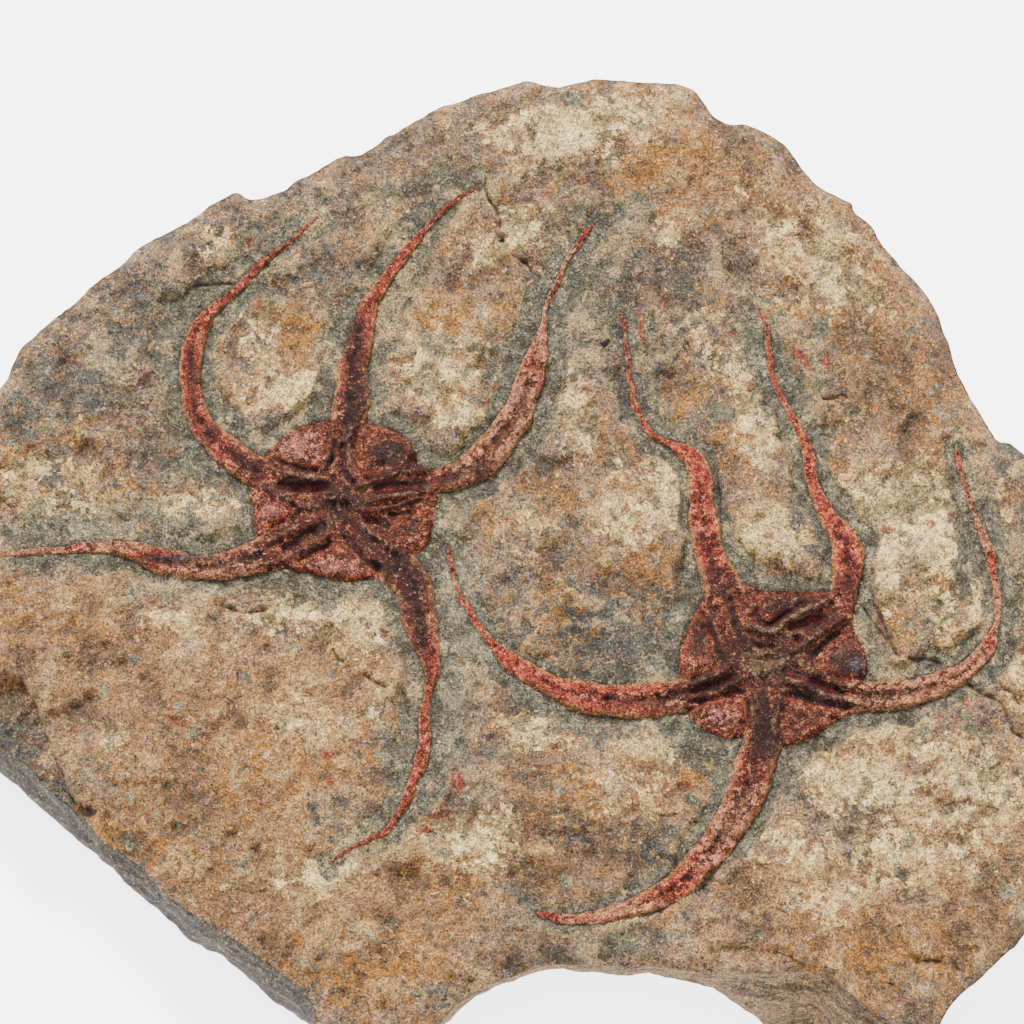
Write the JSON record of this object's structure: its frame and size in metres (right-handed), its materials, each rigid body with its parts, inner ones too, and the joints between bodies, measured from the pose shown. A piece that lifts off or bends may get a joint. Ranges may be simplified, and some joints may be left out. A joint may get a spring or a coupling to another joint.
{
  "type": "fossil brittle star",
  "caption": "Loose slab of siltstone with long-armed brittle stars fossilised in low relief on its face; lies flat on its underside for display or study.",
  "frame": {"origin": "bottom centre of the slab, on its flat underside", "axes": "+X along the slab's length, to the right with the fossils seen face on; +Y across it to its rounded top edge; +Z out of the face that carries the fossils"},
  "size_m": [0.1955, 0.1777, 0.0258],
  "materials": {
    "stone_slab": "rough split siltstone, tan, ochre and slate mottling",
    "left_star_disc": "matt iron-red fossil",
    "left_star_arm_1": "matt iron-red fossil",
    "left_star_arm_2": "matt iron-red fossil",
    "left_star_arm_3": "matt iron-red fossil",
    "left_star_arm_4": "matt iron-red fossil",
    "left_star_arm_5": "matt iron-red fossil",
    "right_star_disc": "matt iron-red fossil",
    "right_star_arm_1": "matt iron-red fossil",
    "right_star_arm_2": "matt iron-red fossil",
    "right_star_arm_3": "matt iron-red fossil",
    "right_star_arm_4": "matt iron-red fossil",
    "right_star_arm_5": "matt iron-red fossil"
  },
  "bodies": {
    "root": {"stone_slab": "stone_slab", "left_star_disc": "left_star_disc", "left_star_arm_1": "left_star_arm_1", "left_star_arm_2": "left_star_arm_2", "left_star_arm_3": "left_star_arm_3", "left_star_arm_4": "left_star_arm_4", "left_star_arm_5": "left_star_arm_5", "right_star_disc": "right_star_disc", "right_star_arm_1": "right_star_arm_1", "right_star_arm_2": "right_star_arm_2", "right_star_arm_3": "right_star_arm_3", "right_star_arm_4": "right_star_arm_4", "right_star_arm_5": "right_star_arm_5"}
  },
  "joints": []
}
